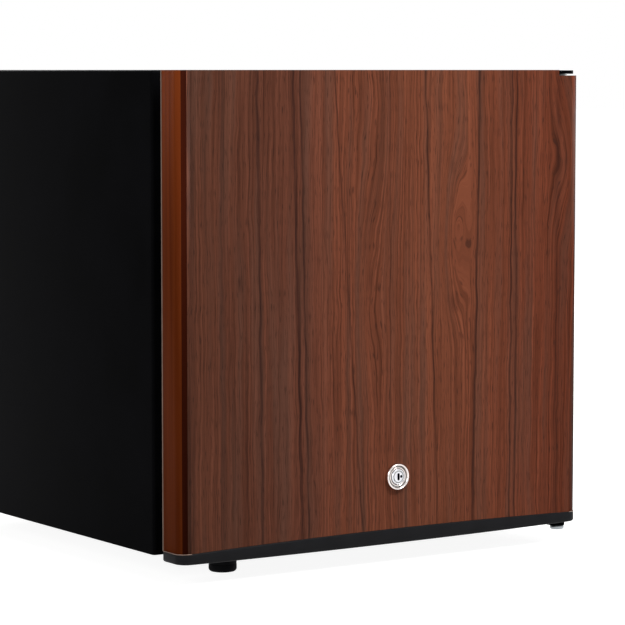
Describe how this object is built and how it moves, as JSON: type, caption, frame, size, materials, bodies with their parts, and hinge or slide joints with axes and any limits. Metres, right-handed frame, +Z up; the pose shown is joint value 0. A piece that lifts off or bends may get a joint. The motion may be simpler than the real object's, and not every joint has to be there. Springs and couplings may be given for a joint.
{
  "type": "minibar refrigerator",
  "caption": "Compact hotel minibar: black steel cabinet, hinged wood-grain door with a cam lock and door racks, lined cold room with a wire shelf, and an absorption cooling unit behind.",
  "frame": {"origin": "centre of the bounding box on the floor under the feet", "axes": "+Z up, the door faces -Y, the hinge is at +X"},
  "size_m": [0.4, 0.4, 0.405],
  "materials": {
    "black_paint": "satin black paint on sheet steel",
    "dark_wood": "satin wood-grain laminate, grain upright",
    "black_plastic": "moulded black ABS",
    "white_plastic": "thermoformed white polystyrene",
    "clear_plastic": "clear polystyrene moulding",
    "black_rubber": "moulded black rubber",
    "foam": "rigid polyurethane foam",
    "chrome": "bright chrome plate",
    "zinc_steel": "zinc-plated steel",
    "aluminium": "bare cast aluminium",
    "white_wire": "white plastic-coated wire",
    "unit_paint": "dull black paint on steel tube",
    "bush_plastic": "natural acetal"
  },
  "bodies": {
    "cabinet": {"cabinet_shell": "black_paint", "base_plate": "black_paint", "back_panel": "zinc_steel", "front_frame": "black_plastic", "inner_liner": "white_plastic", "insulation": "foam", "foot_front_left": "black_rubber", "foot_front_right": "black_rubber", "foot_rear_left": "black_rubber", "foot_rear_right": "black_rubber", "foot_front_left_screw": "zinc_steel", "foot_front_right_screw": "zinc_steel", "foot_rear_left_screw": "zinc_steel", "foot_rear_right_screw": "zinc_steel", "lower_hinge_bracket": "black_paint", "lower_hinge_pin": "zinc_steel", "lower_hinge_screw_1": "zinc_steel", "lower_hinge_screw_2": "zinc_steel", "upper_hinge_bracket": "black_paint", "upper_hinge_pin": "zinc_steel", "upper_hinge_screw_1": "zinc_steel", "upper_hinge_screw_2": "zinc_steel", "lock_keeper": "zinc_steel", "keeper_screw": "zinc_steel", "evaporator": "aluminium", "shelf": "white_wire", "control_box": "white_plastic", "lamp_lens": "clear_plastic", "unit_strap_left": "zinc_steel", "unit_strap_right": "zinc_steel", "plug_plate": "zinc_steel", "absorber_coil": "unit_paint", "absorber_vessel": "unit_paint", "boiler_case": "zinc_steel", "condenser": "unit_paint", "vapour_pipe": "unit_paint", "solution_pipe": "unit_paint", "terminal_box": "black_plastic", "power_inlet": "black_plastic"},
    "door": {"door_skin": "dark_wood", "door_bottom_cap": "black_plastic", "door_top_cap": "black_plastic", "lower_hinge_bush": "bush_plastic", "upper_hinge_bush": "bush_plastic", "door_foam": "foam", "door_liner": "white_plastic", "door_gasket": "black_rubber", "lower_rack": "clear_plastic", "lower_rack_rail": "chrome", "upper_rack": "clear_plastic", "upper_rack_rail": "chrome", "lock_housing": "chrome", "lock_nut": "zinc_steel"},
    "lock": {"lock_plug": "chrome", "lock_cam": "zinc_steel", "cam_screw": "zinc_steel"},
    "knob": {"thermostat_knob": "white_plastic"}
  },
  "joints": [
    {"name": "door_swing", "type": "hinge", "parent": "cabinet", "child": "door", "pos_m": [0.188, -0.1828, 0.2], "axis": [0, 0, 1], "range_deg": [0, 115]},
    {"name": "lock_turn", "type": "hinge", "parent": "door", "child": "lock", "pos_m": [0.0074, -0.18, 0.0727], "axis": [0, 1, 0], "range_deg": [0, 90]},
    {"name": "thermostat_turn", "type": "hinge", "parent": "cabinet", "child": "knob", "pos_m": [0.1303, -0.08, 0.356], "axis": [0, 1, 0], "range_deg": [0, 270]}
  ]
}
